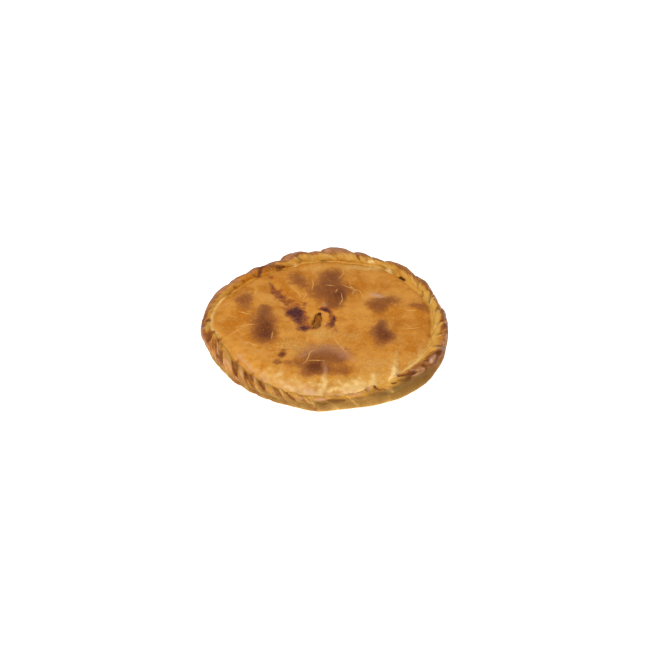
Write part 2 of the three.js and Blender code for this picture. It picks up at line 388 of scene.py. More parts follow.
def rim_mark(path, wide, **amounts):
    """A mark on the rim. Its places are a bearing and a share of the rope, below 0 on the wall."""
    middle = path[len(path) // 2][0]
    u = ((bearing - middle + 180) % 360 - 180) * MM_PER_DEGREE
    path = [((b - middle) * MM_PER_DEGREE, s * rope_width(b)) for b, s in path]
    mark(on_rim, u + RIM_WANDER * wander_u, across + RIM_WANDER * wander_v, path, wide, **amounts)


def lid_mark(path, wide, **amounts):
    """A mark on the lid. Its places are x and y."""
    mark(on_lid, x + LID_WANDER * wander_u, y + LID_WANDER * wander_v, path, wide, **amounts)


# Left front: browned hollows that slant down the rope from the seam, with painted shade at their deepest
# and a painted highlight on the lip beside each, pale ridges between them, and a painted sheen on the
# bulge of each fold. Folds run on a little down the wall.
FOLD_END = -0.5
FOLD_LEAN = 4


def down_the_wall(path):
    """Where a fold runs on, from the end of its path."""
    return [path[-1], (path[-1][0] + FOLD_LEAN, FOLD_END)]


HOLLOWS = [
    # path from the seam down, width, depth, browned, painted shade
    ([(183.5, 0.80), (185.2, 0.60), (186.5, 0.25)], 5.0, 1.0, 0.6, 0.25),
    ([(188.5, 1.0), (191.5, 0.68), (195, 0.32)], 5.5, 1.8, 0.65, 0.4),
    ([(194.5, 1.0), (199.5, 0.66), (207, 0.34)], 7.5, 2.0, 0.5, 0.35),
    ([(205, 0.70), (210, 0.42), (212, 0.12)], 6.0, 1.2, 0.35, 0.15),
    ([(214.5, 1.02), (218, 0.76), (223, 0.30)], 6.0, 1.8, 0.6, 0.3),
    ([(226, 0.74), (229, 0.44), (232, 0.08)], 4.5, 1.2, 0.45, 0.4),
    ([(228, 1.03), (230.5, 0.78), (233, 0.52)], 5.0, 1.4, 0.5, 0.3),
    ([(234.5, 1.0), (236.5, 0.78), (240, 0.40)], 6.5, 1.2, 0.4, 0.15),
    ([(244.5, 1.0), (246.5, 0.70), (249.5, 0.30)], 4.5, 0.9, 0.35, 0.25),
    ([(249.5, 0.80), (252, 0.55), (256, 0.22)], 5.5, 0.8, 0.35, 0.3),
    ([(257, 0.90), (260, 0.50), (262, 0.10)], 5.0, 0.6, 0.3, 0.1),
]
for path, wide, depth, browned, dark in HOLLOWS:
    rim_mark(path, 1.3 * wide, push=-depth, browned=0.65 * browned)
    rim_mark(path[:2], 0.6 * wide, dark=0.35 * dark)
    lip = [(b + 0.3 * wide, s) for b, s in path]
    rim_mark(lip, 0.4 * wide, push=0.5, pale=0.65)
    rim_mark(down_the_wall(path), wide, push=-0.3 * depth, browned=0.3 * browned)
RIDGES = [
    [(185.5, 0.95), (188.2, 0.60), (190.5, 0.20)], [(191.5, 1.0), (195.8, 0.62), (200.5, 0.28)],
    [(203.5, 1.0), (208.5, 0.70), (215, 0.30)], [(221, 1.0), (224, 0.70), (228.5, 0.25)],
    [(240, 1.0), (243, 0.62), (247, 0.20)], [(246.8, 1.0), (249, 0.60), (252, 0.20)],
    [(232.5, 0.95), (235, 0.60), (238, 0.20)], [(254.5, 1.0), (257, 0.60)],
]
for path in RIDGES:
    rim_mark(path, 5.0, push=0.8, pale=0.3)
    rim_mark(down_the_wall(path), 4.0, push=0.4, pale=0.25)
PAINTED_SHEEN_MARKS = [
    # path, width and strength of the painted sheen
    ([(202, 0.55), (207.5, 0.40)], 5.5, 0.8), ([(212.5, 0.50), (219.5, 0.34)], 6.0, 1.0),
    ([(223.5, 0.60), (227.5, 0.44)], 5.0, 0.9), ([(231.3, 0.86), (234, 0.56)], 4.0, 0.9),
    ([(240.5, 1.0), (243, 0.66)], 4.5, 0.8), ([(258, 0.56), (259.5, 0.40)], 4.0, 0.9),
    ([(187, 0.22), (188.5, 0.05)], 4.0, 0.6), ([(223, 0.22), (224.5, 0.02)], 4.0, 0.6),
]
for path, wide, strength in PAINTED_SHEEN_MARKS:
    rim_mark(path, 0.75 * wide, push=0.4, shine=0.6 * strength)
rim_mark([(179.5, 1.0), (182.5, 0.74)], 4.5, push=-0.5, browned=0.6)
rim_mark([(176, 0.50), (184, 0.45)], 11.0, browned=0.3)
rim_mark([(181, 0.80), (188, 0.55)], 9.0, dark=0.15)

# Front: small lips, a little browned and with a painted highlight, each over a hollow with painted
# shade in it, creases that run down the wall, and a ragged seam, with a browned hollow and painted
# shade behind each tatter.
rim_mark([(262.5, 0.70), (265, 0.10), (268, -0.8)], 2.6, push=0.8, pale=0.6)
rim_mark([(264.5, 0.50), (266.8, -0.1), (269.5, -0.9)], 1.4, push=0.5, pale=0.3)
rim_mark([(265.5, 0.46), (271, 0.48)], 3.2, push=0.7, browned=0.15, shine=0.7)
rim_mark([(266, 0.18), (272, 0.10)], 7.0, push=-0.5, dark=0.35)
rim_mark([(271.5, 0.60), (274, 0.95), (276.5, 1.1), (279.5, 0.85)], 3.0,
         push=0.9, browned=0.25, shine=0.6)
rim_mark([(272.5, 0.44), (276, 0.36), (279.5, 0.34)], 8.0, push=-1.3, dark=0.6)
rim_mark([(270, 0.05), (284, 0.05)], 12.0, dark=0.08)
rim_mark([(272.5, 0.35), (275, -0.1), (278.5, -0.9)], 1.6, push=0.4, pale=0.3)
rim_mark([(279, 1.0), (281.5, 0.60), (284, 0.10), (287, -0.4)], 2.4, push=0.8, pale=0.5)
rim_mark([(281, 0.88), (285, 0.68), (289, 0.72)], 4.0, push=0.6, browned=0.2, shine=0.5)
rim_mark([(285, 0.44), (288, 0.36)], 5.0, push=-0.6, dark=0.3)
for tatter in (259.5, 263.5, 267.2, 271, 274.2, 278.6, 282, 286.5, 289):
    rim_mark([(tatter, 0.80), (tatter + 2.4, 1.12)], 2.6, push=0.8, pale=0.5)
    rim_mark([(tatter + 1.8, 0.72), (tatter + 3.6, 0.98)], 2.2, push=-0.8, browned=0.3, dark=0.15)

# Front right: a small flap like an arrow head, then a wide one with a browned, crusty, hollow face.
# Painted shade lies in their hollows and slits and under their lips, and painted highlights on their pale
# ridges and cream tip.
rim_mark([(290, 0.86), (291.5, 1.04), (294, 1.06), (296.5, 1.0)], 3.0, push=0.7, browned=0.3)
rim_mark([(291.8, 1.02), (293, 0.80)], 5.0, shine=0.7)
rim_mark([(296, 1.0), (296, 0.75), (297.5, 0.50)], 5.5, push=-0.9, browned=0.5)
rim_mark([(291.5, 0.66), (295, 0.42), (300, 0.10)], 9.0, push=-0.8, dark=0.5)
rim_mark([(298, 0.64), (300, 0.40)], 2.2, push=-0.8, dark=0.7)
rim_mark([(302, 0.92), (301.5, 0.55), (303, 0.10)], 4.0, push=0.4, pale=0.5)
rim_mark([(303.5, 0.67), (306, 0.56)], 2.6, push=-1.0, dark=0.9)
rim_mark([(307, 0.66), (310, 0.56), (314, 0.42)], 7.0, push=-0.6, dark=0.55)
rim_mark([(304, 0.80), (309, 0.77), (311.5, 0.68)], 2.0, push=0.7, pale=0.4)
rim_mark([(309.5, 0.98), (312.5, 0.80), (314.5, 0.64), (318, 0.52)], 8.5,
         push=-1.2, browned=0.75, dark=0.15)
rim_mark([(315.5, 0.80), (320, 0.73), (325, 0.63), (331, 0.58), (335.5, 0.46)], 11.0,
         push=-1.2, browned=0.5)
rim_mark([(303, 0.86), (307, 1.06), (309.5, 1.18)], 5.5, push=1.0, pale=1.6)
rim_mark([(306, 1.04), (310, 1.22), (311.5, 1.50)], 7.0, push=0.8, pale=1.0)
rim_mark([(313, 1.04), (320, 0.98), (327.5, 0.98), (333.5, 0.86)], 3.0, push=0.9, pale=1.0)
rim_mark([(315, 0.46), (318.5, 0.38), (322, 0.34)], 2.6, push=0.7, shine=0.4)
rim_mark([(319.5, 0.52), (322.5, 0.42)], 5.0, push=0.6, shine=0.45)
rim_mark([(316.5, 0.86), (318.5, 0.66)], 3.0, push=0.6, shine=0.4)
rim_mark([(327, 0.42), (330, 0.44), (333, 0.42)], 6.0, push=0.6, shine=0.8)
rim_mark([(332, 0.26), (336, 0.34), (337, 0.52)], 4.5, push=-0.6, dark=0.4)
rim_mark([(303, 0.40), (312, 0.26), (320, 0.08), (330, -0.1)], 14.0, push=-0.6, dark=0.15)
# Painted glints on the crusty face of the wide flap, among its lumps and browning.
crust_face = on_rope * near(bearing, 324, 18) * bell(share, 0.52, 0.2)
FINISH["push"] += 0.9 * crust_face * small_lumps
FINISH["browned"] += crust_face * (0.1 - 0.5 * small_lumps)
FINISH["shine"] += crust_face * np.maximum(0, 0.6 * small_lumps)
# Painted shadow under the flaps, on the wall and the rope's outer side, which are tan there.
under_flap = np.where(on_wall, smooth(share, 0.5, 0.9), on_rope * (1 - smooth(share, 0.4, 0.75)))
FINISH["tan"] += 0.7 * on_rope * near(bearing, 316, 26) * under_flap
FINISH["dark"] += 0.26 * near(bearing, 320, 26) * under_flap

# Right: short creases, each with painted shade on the rope's outer side, that end in a pale fold at the
# seam, pale dough with a painted highlight, and two painted highlights low on the rope at its front end.
RIGHT_CREASES = [
    # inner end, outer end, width, dark
    ((336.5, 0.74), (339.8, 0.42), 2.6, 0.65), ((345.5, 0.74), (349, 0.44), 2.4, 0.4),
    ((354.5, 0.74), (359, 0.44), 2.4, 0.5), ((5.5, 0.78), (9.5, 0.55), 2.4, 0.65),
    ((14.3, 0.98), (19.5, 0.6), 3.4, 0.6), ((21.5, 1.03), (25, 0.9), 4.0, 0.35),
    ((28, 0.92), (32, 0.55), 2.2, 0.5),
]
for (inner, inner_share), (outer, outer_share), wide, dark in RIGHT_CREASES:
    rim_mark([(inner, inner_share), (outer, outer_share)], wide, push=-0.9, dark=dark)
    rim_mark([(inner - 3, 1.0), (inner, 0.86), (outer - 2.5, outer_share)], 4.5, push=0.8, pale=0.55)
    rim_mark([(inner + 2, 1.0), (inner + 3.5, 0.7)], 5.0, push=-0.4, amber=0.4)
for path in ([(337, 0.5), (339, 0.25)], [(341.5, 0.5), (343.5, 0.25)]):
    rim_mark(path, 3.0, push=0.5, shine=0.5)

# Back right: a hollow with an open slit in its seam, painted with shade in and beside the slit, long
# ridges of pale dough with painted highlights and a painted shadow under one, and a pinch like a diamond
# with a painted highlight.
rim_mark([(47, 0.84), (36, 0.83)], 9.0, push=-1.0, amber=0.3)
rim_mark([(44.2, 1.04), (41, 1.0), (38.2, 0.97)], 1.5, push=-1.0, dark=1.6)
rim_mark([(50.5, 0.93), (46, 0.97)], 4.5, push=-0.6, dark=0.35)
rim_mark([(53, 1.04), (48, 1.06)], 4.0, push=0.5, pale=1.6)
rim_mark([(40, 0.66), (33.5, 0.76), (29, 0.86)], 3.0, push=0.7, pale=0.6)
rim_mark([(51, 0.68), (42, 0.67)], 4.5, push=0.5, pale=0.5)
rim_mark([(63, 0.68), (56.5, 0.86), (50, 0.97)], 3.4, push=0.9, pale=0.7)
rim_mark([(59, 0.94), (52, 1.0)], 2.2, push=-0.6, dark=0.3)
rim_mark([(65.5, 0.87), (62.5, 0.78)], 5.5, push=0.7, pale=1.6)

# Back: a smooth inner side with hollows, some browned, some amber and some with painted shade, and pale
# folds that slant across it, painted as highlights.
rim_mark([(67, 0.62), (65.3, 0.88)], 2.4, push=-0.7, dark=0.45)
rim_mark([(72.5, 0.60), (70, 0.82)], 3.0, push=-0.6, browned=0.3)
rim_mark([(90.5, 0.66), (86, 0.80), (84, 0.95), (83, 1.10)], 2.8, push=0.9, pale=0.8)
rim_mark([(84, 0.71), (76, 0.79)], 9.0, push=-1.0, amber=0.3)
rim_mark([(92, 1.03), (88, 1.06)], 4.5, push=-1.0, dark=0.55)
rim_mark([(98, 0.85), (92, 0.85)], 7.0, push=-0.6, amber=0.5)
for inner in (61, 70, 76, 81, 95.5, 99.5, 115.5, 122):
    rim_mark([(inner + 3.5, 0.60), (inner + 1, 0.80), (inner, 0.97)], 2.2, push=0.5, pale=0.7)

# Back left: pale folds that end in a painted highlight at the seam, and browned hollows with painted shade
# in them between browned tops.
rim_mark([(108.5, 0.56), (106, 0.72), (103.5, 0.95), (102, 1.08)], 2.6, push=0.9, pale=0.8)
rim_mark([(107, 0.30), (106.2, 0.62), (105, 0.78), (102.8, 0.95)], 2.8, push=-0.9, dark=0.55)
rim_mark([(106, 0.20), (105, 0.60)], 6.0, browned=0.6)
rim_mark([(107.5, 0.90), (106, 1.12)], 6.5, push=0.4, pale=1.6)
rim_mark([(113, 0.62), (110, 0.74), (108.6, 0.92), (108.8, 1.10)], 2.8, push=0.9, pale=0.8)
rim_mark([(119, 0.70), (127, 0.70)], 10.0, browned=0.5)
rim_mark([(119, 0.82), (117, 0.90), (114, 0.92)], 8.0, push=-0.9, browned=0.6, dark=0.25)
rim_mark([(126, 0.20), (128, 0.62), (129.5, 0.88), (131.5, 1.02)], 5.5,
         push=-1.0, browned=0.8, dark=0.25)
rim_mark([(134.5, 0.78), (132, 1.0)], 4.0, push=-0.5, browned=0.4)
rim_mark([(143, 0.74), (141, 0.92)], 2.6, push=-0.7, dark=0.4)
rim_mark([(149.8, 0.78), (148.5, 0.97)], 3.0, push=-0.8, dark=0.5)
rim_mark([(157.5, 1.16), (153, 1.10), (149.5, 1.02)], 2.8, push=0.6, pale=0.8)
rim_mark([(156, 1.05), (152.5, 1.02)], 4.0, push=-0.5, dark=0.35)

# Left: the seam runs as a pale line, pale dough with a painted highlight where it faces the light.
LEFT_SEAM = [(157, 0.98), (163, 1.0), (170, 1.0), (177, 1.0), (185, 1.0), (192, 0.98), (197, 0.94)]
rim_mark(LEFT_SEAM, 5.0, push=0.4, pale=1.1)

# Folds and hollows of the lid: three folds pulled up to the front rim, one at the back, and the valley
# that the juice ran down.
lid_mark([(73, -54), (71, -72), (67, -96)], 10.0, push=1.3, pale=0.7)
lid_mark([(70, -82), (66, -106)], 5.0, push=0.4, pale=0.7)
lid_mark([(77, -64), (73, -90)], 8.0, push=-0.8)
lid_mark([(50, -86), (45, -112)], 8.0, push=1.1, pale=0.85)
lid_mark([(3, -80), (0, -100), (-7, -116)], 7.0, push=1.0, pale=0.6)
lid_mark([(-4, 98), (-9, 90), (-13, 80)], 6.0, push=0.7, pale=0.5)
lid_mark([(-60, 80), (-46, 38), (-33, 12), (-20, -16)], 16.0, push=-1.6)
lid_mark([(-1, 18), (8, 8), (8, -8)], 5.0, push=-0.5)
lid_mark([(-15, 14), (-15, -6)], 4.0, push=0.6, pale=0.25)
# A painted highlight on the back of the swell at the back right.
lid_mark([(49, 46), (56, 42), (63, 39)], 9.0, push=0.6, shine=0.75)

# Egg wash that dried with a broken shine, painted as highlights on the shoulder of the lid at the front
# left and in front, and the wrinkled, paler slope down to the front seam, darkened unevenly with the shade
# colour.
lid_mark([(-88, -54), (-80, -66), (-71, -79)], 5.0, push=0.6, pale=0.3, shine=0.35)
lid_mark([(-64, -84), (-55, -92)], 9.0, push=0.5, pale=0.5, shine=0.3)
lid_mark([(-43, -94), (-28, -106)], 11.0, push=0.4, pale=0.3, shine=0.2)
lid_mark([(-18, -106), (-9, -113)], 8.0, push=0.3, pale=0.4, shine=0.4)
lid_mark([(0, -72), (1, -94)], 5.0, push=0.3, shine=0.4)
lid_mark([(-22, -62), (-12, -52), (4, -48), (18, -54), (30, -68)], 16.0, shine=0.32)
lid_mark([(-28, -104), (-12, -110), (6, -112)], 14.0, shine=0.2, dark=0.06)
lid_mark([(18, -108), (34, -110)], 10.0, shine=0.3)
lid_mark([(15, -62), (19, -64)], 8.0, shine=0.25, dark=0.2)
# A painted highlight behind the vent.
lid_mark([(-1, 29), (1, 21)], 6.0, shine=0.4)
front_slope = on_lid * near(bearing, 272, 62) * bell(from_seam, 6.0, 14.0)
FINISH["push"] += front_slope * 0.6 * small_lumps
FINISH["pale"] += front_slope * (0.2 + 0.5 * small_lumps)
FINISH["straw"] += front_slope * 0.4
FINISH["dark"] += front_slope * (0.11 - 0.12 * small_lumps - 0.06 * large_lumps)
front_shoulder = on_lid * near(bearing, 240, 70) * bell(from_seam, 12.0, 12.0)
FINISH["shine"] += front_shoulder * np.maximum(0, 0.4 * small_lumps + 0.2 * large_lumps)
FINISH["pale"] += front_shoulder * 0.65 * small_lumps
FINISH["amber"] += front_shoulder * np.maximum(0, -0.8 * small_lumps)

# Browning: swells of the lid that the oven caught.
BROWNED = [
    # left
    (-64, -11, 24, 14.5, 92, 0.56), (-62, 17, 11, 7, 90, 0.4), (-60, -27, 13, 11, 95, 0.55),
    (-62, -4, 36, 19, 92, 0.06), (-59, -6, 9, 8, 0, 0.2),
    # back middle, with a darker right side
    (6, 55, 30, 16, 96, 0.58), (11, 82, 12, 10, 90, 0.3), (18, 44, 14, 6, 85, 0.45),
    (9, 27, 11, 8, 90, 0.4), (8, 55, 40, 22, 96, 0.07), (29, 54, 9, 9, 0, 0.26), (-9, 46, 8, 13, 0, 0.2),
    # back left and far left
    (-31, 72, 16, 11, 115, 0.42), (-22, 57, 12, 8, 110, 0.2), (-86, 35, 16, 11, 75, 0.46),
    (-80, 22, 9, 6, 60, 0.16),
    # front middle, with a dark lower edge
    (-3, -62, 26, 20, 0, 0.54), (-10, -82, 13, 10, 0, 0.7), (18, -84, 12, 7, 25, 0.35),
    (-2, -66, 34, 24, 0, 0.04), (16, -63, 10, 8, 0, 0.12),
    # right, in the shape of a star, with a small mark behind it
    (60, -21, 13, 8, 90, 0.42), (59.5, -7, 10, 5, 90, 0.35), (57, -37, 13, 8, 85, 0.4),
    (68, -29, 11, 8, -25, 0.38), (51, -20, 9, 9, 0, 0.3), (60, -22, 26, 17, 95, 0.08),
    (76, -8, 8, 8, 0, 0.14),
    # back right and far right
    (59, 30, 18, 11, 12, 0.36), (57, 19, 10, 8, 0, 0.3), (72, 34, 12, 7, 30, 0.22),
    (99, 22, 14, 7, -20, 0.34), (60, 28, 28, 18, 10, 0.07),
    # small marks at the front left
    (-42, -58, 3.6, 3.8, 0, 1.1), (-41, -51, 3.5, 2, 0, 0.45), (-47, -69, 5, 4, 0, 0.36),
    (-36, -70, 14, 4, -8, 0.26),
]
# Juice that came out at the back left and ran down to the vent, and more that ran round the vent.
STAINS = [
    # run from the back left
    (-45, 46, 28, 9, 122, 0.16), (-60, 79, 4, 3, 90, 0.35), (-57, 62, 5, 2.6, 110, 0.6),
    (-52, 50, 10, 6, 118, 0.4), (-46, 40, 9, 7, 125, 0.3), (-45, 42, 3.5, 3, 0, 0.3),
    (-40, 30, 8, 6, 120, 0.12),
    # pool beside the vent
    (-31.5, 15, 12, 10, 112, 0.9), (-25, -1, 11, 6, 105, 0.65), (-24, 14, 6, 5, 100, 0.4),
    (-21, -13, 9, 6, 15, 0.75), (-18, 4, 4, 4, 0, 0.4), (-21, 28, 5, 3.5, 90, 0.35),
    # round the vent, and drops in front of it and behind it
    (0, 18, 5.5, 3.5, 0, 0.65), (4, 15.5, 6, 2.6, -20, 0.68), (8, 8, 8, 2.8, -70, 0.62),
    (8.5, 0, 7, 2.8, -85, 0.5), (6, -8, 7, 5, 75, 0.62), (12, -22, 8, 3.5, 100, 0.25),
    (21, -50, 9, 3.5, 115, 0.25), (17, -63, 5, 4.5, 80, 0.5), (10.5, 53, 6, 2.5, -25, 0.6),
]
# Dough that stayed pale, and dough that the egg wash turned amber.
PALE_DOUGH = [
    # slope to the front seam, and streaks of the front left
    (6, -104, 60, 13, 0, 0.22), (42, -98, 32, 13, 8, 0.3), (30, -106, 20, 11, 0, 0.4),
    (26, -105, 9, 10, 0, 0.4), (-8, -103, 16, 8, 0, 0.25), (48, -70, 24, 10, 0, 0.5),
    (0, -76, 3, 9, 0, 0.5), (-34, -100, 16, 9, -12, 0.2), (-50, -86, 13, 7, -30, 0.4),
    # in front of the vent
    (0, -23, 15, 9, 0, 0.65), (27, -29, 13, 11, 0, 0.35), (-35, -28, 14, 9, 0, 0.35),
    (-35, -47, 22, 12, 0, 0.6),
    # right
    (102, -49, 8, 15, -35, 0.6), (90, -68, 15, 8, 55, 0.45), (103, 34, 10, 8, 0, 0.4),
    (60, 41, 9, 3.5, 5, 0.6),
    # back
    (46, 96, 34, 8, -5, 0.9), (-22, 93, 12, 6, 10, 0.5), (-60, 45, 10, 8, 90, 0.2),
]
AMBER_DOUGH = [
    # left
    (-62, 55, 8, 8, 0, 1.8), (-45, 58, 9, 18, 30, 0.6), (-30, 40, 6, 14, 40, 0.6),
    (-92, 13, 10, 14, 0, 0.6), (-100, -11, 8, 10, 0, 1.3), (-74, -28, 9, 9, 0, 1.5),
    (-92, -55, 10, 12, 0, 0.6),
    # middle
    (29, 54, 10, 11, 0, 1.8), (22, 42, 5, 14, 0, 0.5), (12, -24, 4, 8, 0, 0.4),
    # right
    (42, 67, 7, 6, 0, 0.8), (55, 62, 20, 12, 0, 0.35), (78, -6, 8, 8, 0, 1.1), (101, -6, 7, 10, 0, 0.7),
    (88, -45, 10, 10, 0, 0.5),
]
PATCH_EDGE = 2.3  # over 2, a patch has a level middle and a quicker edge


def patches(ovals):
    """The sum of ovals with level middles and soft edges."""
    out = [oval_distance(oval, x + wander_u, y + wander_v) for oval in ovals]
    return sum(oval[-1] * np.exp(-distance ** PATCH_EDGE) for oval, distance in zip(ovals, out))


for name, ovals in [("browned", BROWNED), ("stain", STAINS), ("pale", PALE_DOUGH), ("amber", AMBER_DOUGH)]:
    FINISH[name] += inside_seam * patches(ovals)

# Fine pale cracks where the skin of the lid stretched. Each closes to a hair at its ends.
CRACKS = [
    # back left and far left
    [(-13, 70), (-12, 62), (-13.5, 50)], [(-38, 62), (-32, 52), (-27, 45), (-26, 38)],
    [(-19, 48), (-23, 36)], [(-73, 54), (-75, 42)],
    # back middle
    [(27, 70), (28, 61), (33, 54), (38, 52), (41, 42), (47, 34)], [(31, 54), (30, 44)],
    [(33, 54), (24, 58), (19, 61)], [(18, 46), (19, 34), (16, 25)], [(14, 52), (12, 46)],
    [(2, 59), (10, 58)], [(20, 95), (21, 84), (15, 72)],
    # left
    [(-90, 14), (-85, 12), (-78, 8)], [(-100, 8), (-92, 4)], [(-97, -25), (-88, -16)],
    [(-82, -36), (-75, -40), (-68, -44)], [(-86, -12), (-78, -8), (-71, -10)], [(-53, -22), (-54, -33)],
    # front middle
    [(-17, -28), (-17, -38)], [(11, -18), (10, -30), (14, -40), (19, -50), (24, -60)],
    [(-7, -50), (-15, -57), (-16, -65), (-21, -74)], [(-17, -70), (0, -70)],
    # right, and one more at the front left
    [(82, -14), (90, -15), (99, -12)], [(85, 17), (98, 16)], [(100, -32), (105, -38)],
    [(-43, -40), (-44, -48)],
]
CRACK_REACH = (2.0, 4.0)
CRACK_TIPS = 0.03
crack_offset = np.full(x.shape, FAR_OFF)
crack_open = np.zeros(x.shape)
for path in CRACKS:
    offset, place = along_path(x, y, path)
    closer = np.abs(offset) < np.abs(crack_offset)
    crack_offset = np.where(closer, offset, crack_offset)
    gape = np.sin(np.pi * np.clip(place, CRACK_TIPS, 1 - CRACK_TIPS)) ** 0.5
    crack_open = np.where(closer, gape * (1 - smooth(np.abs(offset), *CRACK_REACH)), crack_open)
FINISH["crack_offset"] += crack_offset
FINISH["crack_open"] += crack_open * on_lid

# Rim finish: the dough is sunk in each crease with painted shade there, the crest caught the heat, the
# inner side stayed pale, lid and rope meet in a fold line with painted shade along it, and the wall is
# tan, painted lighter towards its foot with light from the table.
CREASE_WIDTH = 1.2
SEAM_WIDTH = 2.2
SEAM_DROP_WIDTH = 3.0
TAN_SHARE = {"even": 0.2, "front": 0.35}
in_crease = bell(from_crease(crimps), 0, CREASE_WIDTH)
crease = in_crease * smooth(share, 0.1, 0.35) * (1 - smooth(share, 0.55, 0.8))
FINISH["push"] -= on_rope * rim("groove", bearing) * crease
FINISH["dark"] += on_rope * 0.5 * rim("groove", bearing) * crease
# crest, strands of the left front with painted shade over them, the outer side at the right with some
# painted shade, and a painted sheen on the crest at the back and back left
past_brown = share + 0.12 * large_lumps - rim("browned_to", bearing)
browned_crest = smooth(share, 0.0, 0.2) * (1 - smooth(past_brown, -0.12, 0.12))
browned_crest = browned_crest * (0.5 + 0.5 * lobe(crimps)) * (0.8 + 0.8 * large_lumps)
FINISH["browned"] += on_rope * np.maximum(0, rim("browned", bearing)) * browned_crest
strands = on_rope * near(bearing, 232, 50) * smooth(share, 0.05, 0.3) * (1 - smooth(share, 0.7, 0.95))
FINISH["browned"] += 0.35 * strands * (1 - lobe(crimps)) ** 2
FINISH["pale"] += 0.3 * strands * lobe(crimps) ** 3
FINISH["dark"] += 0.28 * strands
FINISH["browned"] += 0.3 * on_rope * near(bearing, 336, 20) * (1 - smooth(share, 0.3, 0.5))
FINISH["dark"] += 0.14 * on_rope * near(bearing, 343, 12) * (1 - smooth(share, 0.2, 0.5))
FINISH["shine"] += 0.6 * on_rope * near(bearing, 96, 80) * bell(share, 0.5, 0.11)
FINISH["shine"] += 0.35 * on_rope * near(bearing, 152, 30) * bell(share, 0.54, 0.14)
# inner side, and the lid beside it
inner_side = smooth(share + 0.15 * large_lumps, 0.4, 0.7)
for tone in ("straw", "pale"):
    FINISH[tone] += on_rope * np.maximum(0, rim(tone, bearing)) * inner_side
FINISH["straw"] += on_lid * np.maximum(0, rim("straw", bearing)) * bell(from_seam, 0, 2.0)
FINISH["straw"] += on_lid * 0.2 * near(bearing, 190, 34) * bell(from_seam, 0, 8.0)
FINISH["amber"] += on_rope * rim("amber", bearing) * smooth(share, 0.3, 0.6)
FINISH["pale"] += on_lid * rim("lid_edge", bearing) * bell(from_seam, 0, 6.0)
FINISH["browned"] += on_lid * rim("edge_brown", bearing) * bell(from_seam, 4.0, 6.0)
# fold line between rope and lid, sunk and with painted shade along it
by_seam = on_rope | on_lid
seam_line = by_seam * bell(past_seam, 0.5, SEAM_WIDTH) * (0.6 + 0.8 * large_lumps)
seam_line = np.maximum(0, seam_line * rim("seam", bearing))
seam_drop = by_seam * rim("seam_drop", bearing) * bell(past_seam, 0.5, SEAM_DROP_WIDTH)
FINISH["push"] -= 1.2 * seam_line + seam_drop
FINISH["dark"] += 0.5 * seam_line
# wall: browned at the right and in lumps, lighter towards its foot as painted light from the table,
# painted shade at the left front, and a painted sheen low down at the front
tan_share = TAN_SHARE["even"] + TAN_SHARE["front"] * near(bearing, 280, 90)
FINISH["tan"] += np.where(on_wall, 1.0, on_rope * (1 - smooth(share, tan_share - 0.2, tan_share)))
FINISH["pale"] += on_wall * 0.8 * (1 - smooth(share, 0.45, 0.95)) * (1 - near(bearing, 350, 40))
FINISH["browned"] += on_wall * 0.4 * near(bearing, 352, 42) * smooth(share, 0.2, 0.7)
FINISH["browned"] += on_wall * 0.35 * np.maximum(0, large_lumps + 0.4 * small_lumps)
FINISH["pale"] += on_wall * 0.5 * np.maximum(0, -large_lumps - 0.4 * small_lumps)
FINISH["dark"] += on_wall * 0.26 * near(bearing, 249, 48)
FINISH["pale"] += on_wall * 0.15 * near(bearing, 270, 24)
FINISH["shine"] += on_wall * 0.5 * near(bearing, 285, 70) * (1 - smooth(share, 0.4, 0.8))
# vent: painted shade down its wall, and browned filling, darkened with the shade colour, at its bottom
FINISH["dark"] += (band == VENT_WALL) * bell(share, 0.3, 0.3) * (0.45 + 0.8 * small_lumps)
FINISH["browned"] += in_vent * 0.3 * smooth(share + (band == FILLING), 0.1, 0.5)
FINISH["dark"] += in_vent * np.maximum(0, 0.05 + 0.7 * small_lumps)

# Strands: kneading and twisting drew the dough of the rim out along its crimps, so its colour and its
# skin run in streaks. A place in the streaks is millimetres round the rim and millimetres across it.
STREAK = {"width": 4.4, "length": 13.0}
STREAKY = {"wall": 0.6, "rope": 1.0, "lid": 0.35}
strand = polar(EVEN_RIM["radius"] / STREAK["width"], bearing_of(crimps), across / STREAK["length"])
beside_seam = on_lid * STREAKY["lid"] * bell(from_seam, 0, 12.0)
FINISH["streaky"] += np.where(on_wall, STREAKY["wall"], np.where(on_rope, STREAKY["rope"], beside_seam))

# Unevenness of hand-worked dough, in lumps of two sizes, pushed out along the skin with the marks.
# First the lid and the rope run together along the seam, as dough does when it is pressed.
LUMP_HEIGHT = {"rim": 0.9, "lid": 0.45}
FILLET_WIDTH = 3.0
FILLET_PASSES = 24
VENT_RAGGED = 2.2
VENT_OVAL = (VENT["x"], VENT["y"], VENT["half_length"], VENT["half_width"], VENT["turn"], 1)
lump_height = np.where(on_rope, LUMP_HEIGHT["rim"], LUMP_HEIGHT["lid"]) * smooth(z, 0.0, 4.0)
FINISH["push"] += lump_height * (large_lumps + 0.5 * small_lumps)
FINISH["push"] *= smooth(z, 0.0, 3.0) * (band != VENT_WALL)
run_together = 0.5 * (by_seam * bell(past_seam, 0, FILLET_WIDTH))[1:-1, :, None]
for _ in range(FILLET_PASSES):
    points[1:-1] += run_together * (0.5 * (points[:-2] + points[2:]) - points[1:-1])
ragged = VENT_RAGGED * bell(oval_distance(VENT_OVAL, x, y), 1, 0.4)
points[..., 0] += ragged * small_lumps
points[..., 1] += ragged * large_lumps
round_rim = np.roll(points[:, :-1], -1, axis=1) - np.roll(points[:, :-1], 1, axis=1)
round_rim = np.concatenate([round_rim, round_rim[:, :1]], axis=1)
normals = np.cross(round_rim, np.gradient(points, axis=0))
normals /= np.maximum(np.linalg.norm(normals, axis=-1, keepdims=True), 1e-6)
points = points + normals * FINISH.pop("push")[..., None]
points[..., 2] = np.maximum(points[..., 2], 0)

